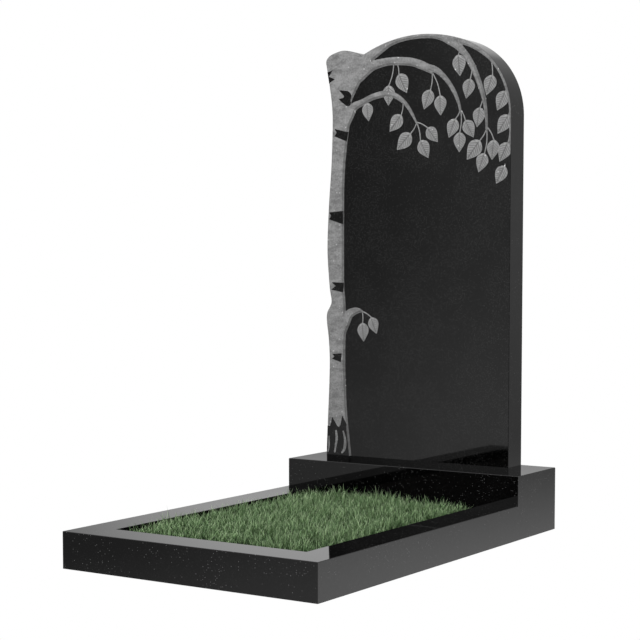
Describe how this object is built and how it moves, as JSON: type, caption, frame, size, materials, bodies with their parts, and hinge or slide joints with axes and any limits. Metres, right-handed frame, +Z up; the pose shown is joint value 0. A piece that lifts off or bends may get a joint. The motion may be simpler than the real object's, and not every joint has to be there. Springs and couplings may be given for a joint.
{
  "type": "headstone",
  "caption": "Polished black headstone with a carved birch, standing on a plinth, with a low kerb around a bed of turf in front.",
  "frame": {"origin": "on the ground, at the middle of the footprint of plinth and kerb", "axes": "+Z up, +X across the stone to the right as seen from its carved face, +Y from the front kerb to the back of the plinth"},
  "size_m": [0.645, 1.04, 1.204],
  "materials": {
    "carved_stone": "polished black gabbro with fine pale specks; the birch's bark, boughs and leaves are tooled matt grey, its knots stay polished",
    "polished_stone": "polished black gabbro with fine pale specks",
    "kerb_stone": "polished black gabbro with fine pale specks",
    "turf": "dense short grass on dark soil, matt"
  },
  "bodies": {
    "root": {"headstone": "carved_stone", "plinth": "polished_stone", "left_kerb": "kerb_stone", "right_kerb": "kerb_stone", "front_kerb": "kerb_stone", "turf": "turf"}
  },
  "joints": []
}
